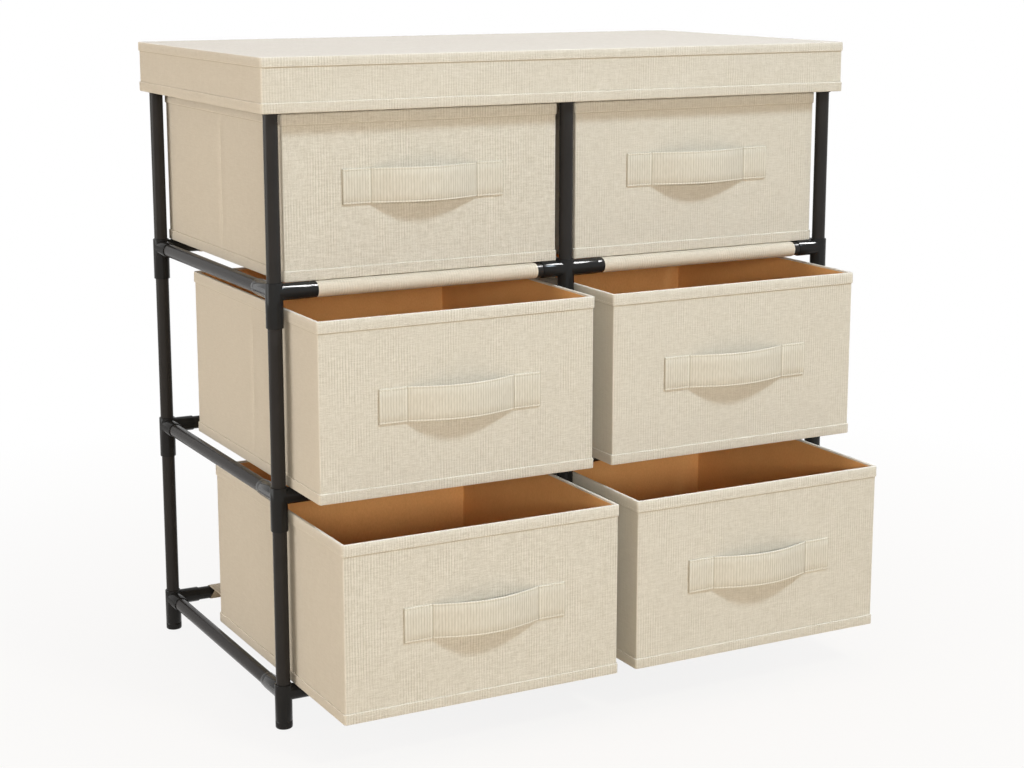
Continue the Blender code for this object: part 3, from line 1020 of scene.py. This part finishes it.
def strap_section():
    """The strap's outline seen from its end: (height, outward, painted highlight, ribbed, painted
    shade in the groove).
    """
    top = STRAP_HALF_HEIGHT
    body = top - STRAP_SELVEDGE
    thick = STRAP_THICKNESS
    edge = STRAP_SIDE_ROUND
    front = [
        (-top, 0.0, 1.0, 0.0, 0.0),
        (-top, thick - edge, 1.0, 0.0, 0.0),
        (-top + edge, thick, 1.0, 0.0, 0.0),
        (-body - edge, thick, 1.0, 0.0, 0.0),
        (-body, thick - edge * 0.5, 0.0, 0.5, 1.0),
    ]
    heights = np.linspace(-body + edge, body - edge, STRAP_ROWS)
    inner = [(height, thick, 0.0, 1.0, 0.0) for height in heights]
    mirrored = [(-height, *others) for height, *others in reversed(front)]
    return front + inner + mirrored


def strap_line(x, half):
    """Whether the strap at x gets a painted highlight by its sewn line or end, and whether it is
    pressed in beside it, where it is dented and painted with shade.
    """
    from_end = half - abs(x)
    from_seam = half - STRAP_PATCH - abs(x)
    sewn_highlight = STRAP_END_SHADE < from_end < STRAP_END_SHADE + SEAM_HIGHLIGHT or -SEAM_HIGHLIGHT < from_seam <= 0
    pressed_and_shaded = from_end <= STRAP_END_SHADE or 0 < from_seam < SEAM_SHADE
    return float(sewn_highlight), float(pressed_and_shaded)


def strap_mesh(name, length, seed):
    """One length of ribbed webbing, flat under both patches and bowed between them."""
    half = length / 2
    seam = half - STRAP_PATCH
    count = round(length / RIB_PITCH * RIB_STEPS)
    places = sorted([-half + length * i / count for i in range(count + 1)] + [-seam, seam])
    section = strap_section()
    points, worn, painted_shading = [], [], []
    for x in places:
        rise = strap_bow(x + SLOPE_STEP, half) - strap_bow(x - SLOPE_STEP, half)
        out = Vector((rise / (2 * SLOPE_STEP), -1.0)).normalized()
        rib = RIB_HEIGHT * abs(math.sin(math.pi * x / RIB_PITCH))
        sewn_highlight, pressed_and_shaded = strap_line(x, half)
        y = BAND_PROUD - STRAP_SINK - strap_bow(x, half)
        for height, thickness, selvedge_highlight, ribbed, groove in section:
            off = thickness + rib * ribbed - min(thickness, SEAM_DENT * pressed_and_shaded)
            points.append((x + out.x * off, y + out.y * off, height))
            # Painted highlight on the selvedges and sewn lines, painted shade in the groove and
            # beside the seams
            worn.append(max(selvedge_highlight, sewn_highlight) * (1 - pressed_and_shaded))
            painted_shading.append(max(groove, pressed_and_shaded))
    faces = skin(len(places), len(section))
    return sewn_mesh(name, points, faces, worn, painted_shading, seed)


def patch_stitches(length, middle):
    """A sewn rectangle on each end patch of the strap, with its inner side sewn twice."""
    half = length / 2
    y = BAND_PROUD - STRAP_THICKNESS - STRAP_SINK
    top = STRAP_HALF_HEIGHT - STRAP_SELVEDGE
    rows = []
    for way in (-1, 1):
        outer = way * (half - PATCH_STITCH_INSET)
        inner = way * (half - STRAP_PATCH + PATCH_STITCH_INSET)
        second = inner + way * PATCH_STITCH_GAP
        lines = (
            ((outer, top), (inner, top)),
            ((outer, -top), (inner, -top)),
            ((outer, -top), (outer, top)),
            ((inner, -top), (inner, top)),
            ((second, -top), (second, top)),
        )
        for (x0, z0), (x1, z1) in lines:
            path = ((x0, y, middle + z0), (x1, y, middle + z1))
            rows.append(stitch_row(path, ((0, -1, 0), (0, -1, 0))))
    return rows


def lining_rings(height):
    """A closed cloth from under the drawer's floor, up to the rim and down the inside."""
    top = height - LINING_DROP
    outside = WALL_INSIDE + LINING_GAP
    lip_in, lip_down = LINING_INNER_ROUND
    return [
        Ring(CENTRE_INSET, LINING_BASE),
        Ring(outside, LINING_BASE),
        Ring(outside, top - LINING_OUTER_ROUND),
        Ring(outside + LINING_OUTER_ROUND, top),
        Ring(LINING_INSIDE - lip_in, top),
        Ring(LINING_INSIDE, top - lip_down),
        *(Ring(LINING_INSIDE, height * share) for share in LINING_LEVELS),
        Ring(LINING_INSIDE, LINING_FLOOR + LINING_CORNER),
        Ring(LINING_INSIDE + LINING_CORNER, LINING_FLOOR),
        Ring(CENTRE_INSET, LINING_FLOOR),
    ]


def wall_rings(height):
    """The drawer's cloth from the middle of its underside, up and over the rim to its floor."""
    rings = [Ring(CENTRE_INSET, 0.0)]
    rings += banded_wall(0.0, height, LOWER_BAND, RIM_BAND)
    rings += [
        # The rim's top edge gets a painted highlight
        Ring(WALL_INSIDE - EDGE_ROUND, height, 1.0),
        Ring(WALL_INSIDE - EDGE_NICK, height - EDGE_NICK, 0.8),
        Ring(WALL_INSIDE, height - EDGE_ROUND, 0.3),
        Ring(WALL_INSIDE, height * 0.5),
        Ring(WALL_INSIDE, WALL_FLOOR),
        Ring(CENTRE_INSET, WALL_FLOOR),
    ]
    return rings


def floor_rings(low, high):
    return [
        Ring(FLOOR_CENTRE_INSET, low),
        Ring(FLOOR_EDGE, low),
        Ring(0.0, low + FLOOR_EDGE),
        Ring(0.0, high - FLOOR_EDGE),
        Ring(FLOOR_EDGE, high),
        Ring(FLOOR_CENTRE_INSET, high),
    ]


def dress_drawer(level, bay, seed):
    body = f"drawer_{level}_{bay}"
    low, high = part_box(f"{body}_box")
    at = Vector(((low.x + high.x) / 2, low.y, low.z))
    height = high.z - low.z
    half = (high.x - low.x) / 2
    box = (-half, half, 0.0, high.y - low.y)
    mesh = shell(
        f"{body}_walls",
        box,
        CORNER_RADIUS,
        wall_rings(height),
        seed,
        swell=PANEL_SWAY,
        crease=CREASE_HALF_WIDTH,
        hush=WEAVE_HUSH[bay],
    )
    place_piece(f"{body}_walls", mesh, "linen", body, [f"{body}_box"], at)
    rings, lining_seed = lining_rings(height), seed + LINING_SEED_STEP
    mesh = shell(f"{body}_lining", box, CORNER_RADIUS, rings, lining_seed)
    place_piece(f"{body}_lining", mesh, "lining", body, [f"{body}_box"], at)

    board_low, board_high = (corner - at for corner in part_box(f"{body}_floor"))
    board_box = (board_low.x, board_high.x, board_low.y, board_high.y)
    rings, board_seed = floor_rings(board_low.z, board_high.z), seed + BOARD_SEED_STEP
    mesh = shell(f"{body}_floor_board", board_box, CORNER_RADIUS, rings, board_seed)
    place_piece(f"{body}_floor_board", mesh, "lining", body, [f"{body}_floor"], at)

    strap_low, strap_high = (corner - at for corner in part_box(f"{body}_handle"))
    length = strap_high.x - strap_low.x
    middle = (strap_low.z + strap_high.z) / 2
    mesh = strap_mesh(f"{body}_strap", length, seed)
    strap_at = at + Vector((0.0, 0.0, middle))
    place_piece(f"{body}_strap", mesh, "webbing", body, [f"{body}_handle"], strap_at)

    heights = (LOWER_BAND - STITCH_FROM_EDGE, height - RIM_BAND + STITCH_FROM_EDGE)
    rows = [ring_of_stitches(box, CORNER_RADIUS, z) for z in heights]
    rows += patch_stitches(length, middle)
    mesh = stitches_mesh(f"{body}_stitches", rows, seed)
    place_piece(f"{body}_stitches", mesh, "linen", body, at=at)


# Shelves


def hem_line(radius, flap, sheet_z):
    """The cloth round one rail, seen from its end, from the flap's seam to the top of the rail."""
    seam = Vector((flap, sheet_z))
    spread = math.acos(radius / seam.length)
    start = math.atan2(seam.y, seam.x) - spread
    end = -math.radians(270)
    points = [seam, seam.lerp(Vector((math.cos(start), math.sin(start))) * radius, 0.5)]
    for step in range(HEM_STEPS + 1):
        angle = start + (end - start) * step / HEM_STEPS
        points.append(Vector((math.cos(angle), math.sin(angle))) * radius)
    return points


def shelf_line(reach):
    """The whole cloth seen from its end: round the front rail, across, round the back rail."""
    radius = HEM_RADIUS - CLOTH_THICKNESS / 2
    hem = hem_line(radius, HEM_FLAP, radius - CLOTH_THICKNESS * FLAP_DROP)
    sheet = [Vector((reach * step / SHEET_STEPS, radius)) for step in range(1, SHEET_STEPS)]
    back = [Vector((reach - point.x, point.y)) for point in reversed(hem)]
    return hem + sheet + back


def shelf_dip(y, reach):
    """How far the cloth hangs down at y between its two rails."""
    share = min(max(y / reach, 0.0), 1.0)
    return SHELF_SAG * math.sin(math.pi * share) ** 2


def shelf_mesh(name, start, end, reach, seed):
    """A thin closed sheet, its two hems slipped over the rails."""
    line = shelf_line(reach)
    ahead = [(b - a).normalized() for a, b in zip([line[0], *line], [*line[1:], line[-1]])]
    off = [Vector((-way.y, way.x)) * CLOTH_THICKNESS / 2 for way in ahead]
    places = [(start + HEM_END_ROUND * share, full) for share, full in HEM_END_CURVE]
    steps = range(1, ACROSS_STEPS)
    places += [(start + (end - start) * step / ACROSS_STEPS, 1.0) for step in steps]
    places += [(end - HEM_END_ROUND * share, full) for share, full in reversed(HEM_END_CURVE)]
    points, worn = [], []
    for x, full in places:
        loop = [point + out * full for point, out in zip(line, off)]
        loop += [point - out * full for point, out in zip(reversed(line), reversed(off))]
        points += [(x, point.x, point.y - shelf_dip(point.x, reach)) for point in loop]
        # The rounded hem ends get a painted highlight
        worn += [0.0 if full == 1.0 else 0.8] * len(loop)
    size = len(line) * 2
    faces = walls_between(len(places), size)
    for first in (0, (len(places) - 1) * size):
        last = first + size - 1
        faces += [(first + i, first + i + 1, last - 1 - i, last - i) for i in range(len(line) - 1)]
    return sewn_mesh(name, points, faces, worn, np.zeros(len(points)), seed, WEAVE_HUSH["shelf"])


def dress_shelf(level, bay, seed):
    node = f"shelf_{level}_{bay}"
    low_column, high_column = BAYS[bay]
    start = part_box(f"connector_{level}_front_{low_column}")[1].x + FIT_GAP
    end = POST_X[high_column] - SHELF_SHORT_OF_POST
    reach = POST_Y["back"] - POST_Y["front"]
    at = (0.0, POST_Y["front"], RAIL_Z[level])
    mesh = shelf_mesh(f"{node}_cloth", start, end, reach, seed)
    cloth = place_piece(f"{node}_cloth", mesh, "linen", "frame", [node], at, finish="shelf")
    low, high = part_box(node)
    for row in ROWS:
        mesh = tube(f"{node}_rail_{row}", low.x, high.x, "x")
        rail_at = (0.0, POST_Y[row], RAIL_Z[level])
        place_piece(f"{node}_rail_{row}", mesh, "frame_tube", "frame", [node], rail_at)
    first, last, up = start + SHELF_STITCH_IN, end - SHELF_STITCH_IN, (0, 0, 1)
    rows = []
    for y in (HEM_FLAP - SHELF_STITCH_IN, reach - HEM_FLAP + SHELF_STITCH_IN):
        z = HEM_RADIUS - shelf_dip(y, reach)
        rows.append(stitch_row(((first, y, z), (last, y, z)), (up, up)))
    mesh = stitches_mesh(f"{node}_stitches", rows, seed)
    place_piece(f"{node}_stitches", mesh, "linen", "frame", at=at)
    line = shelf_line(reach)
    length = sum((b - a).length for a, b in zip(line, line[1:]))


# Stage


def looked_at(tree):
    """1 for what is seen directly, in a shine or through glass, and 0 for light that falls."""
    kinds = ("Is Camera Ray", "Is Glossy Ray", "Is Transmission Ray")
    seen = [tree.node("ShaderNodeLightPath", out=kind) for kind in kinds]
    return (seen[0] + seen[1] + seen[2]).kept()


def make_floor():
    """A floor that looks white from 1 m out. Nearer in, a little of the shadow shows on it."""
    half = FLOOR_HALF
    mesh = bpy.data.meshes.new("floor")
    corners = [(-half, -half, 0), (half, -half, 0), (half, half, 0), (-half, half, 0)]
    mesh.from_pydata(corners, [], [(0, 1, 2, 3)])
    floor = bpy.data.objects.new("floor", mesh)
    bpy.context.scene.collection.objects.link(floor)
    material, tree, shader = start_finish("floor")
    sockets = {"Base Color": FLOOR_COLOUR, "Roughness": 0.9, "Specular IOR Level": 0.1}
    tree.feed(shader, sockets)
    place = tree.node("ShaderNodeTexCoord", out="Object")
    distance = tree.node("ShaderNodeVectorMath", {"operation": "LENGTH"}, {0: place}, out="Value")
    far = (FLOOR_WHITE_START + (distance - FLOOR_WHITE_FROM) * FLOOR_WHITE_RISE).kept()
    glow = tree.node("ShaderNodeEmission", None, {"Color": colour(1, 1, 1), "Strength": 1.0})
    lit = Wire(tree, shader.outputs[0])
    blend = tree.node("ShaderNodeMixShader", None, {0: far * looked_at(tree), 1: lit, 2: glow})
    tree.feed(tree.nodes["Material Output"], {"Surface": blend})
    mesh.materials.append(material)


def make_world():
    """Even light from all sides, and a white background for what looks straight at it."""
    world = bpy.data.worlds.new("studio")
    bpy.context.scene.world = world
    tree = Tree(world)
    seen = looked_at(tree)
    shade = tree.mix(seen, AMBIENT_TINT, colour(1, 1, 1))
    sockets = {"Color": shade, "Strength": AMBIENT + seen * (1 - AMBIENT)}
    tree.feed(tree.nodes["Background"], sockets)


def make_studio():
    bpy.context.scene.view_settings.view_transform = "Standard"
    make_world()
    make_floor()
    for lamp in LAMPS:
        make_softbox(lamp)


def finish_cad_nodes():
    """The ring and board under the cover keep their CAD shape and get their finish."""
    for node, finish in (("top_frame", "tube"), ("top_board", "board")):
        mesh = frame["nodes"][node].data
        mesh.materials.clear()
        mesh.materials.append(FINISHES[finish])


make_camera()
make_studio()
dress_frame()
dress_cover()
for index, drawer_level in enumerate(LEVELS):
    for bay_index, drawer_bay in enumerate(BAYS):
        piece_seed = FIRST_SEED + index * len(BAYS) + bay_index
        dress_shelf(drawer_level, drawer_bay, piece_seed + SHELF_SEED_STEP)
        dress_drawer(drawer_level, drawer_bay, piece_seed)
finish_cad_nodes()
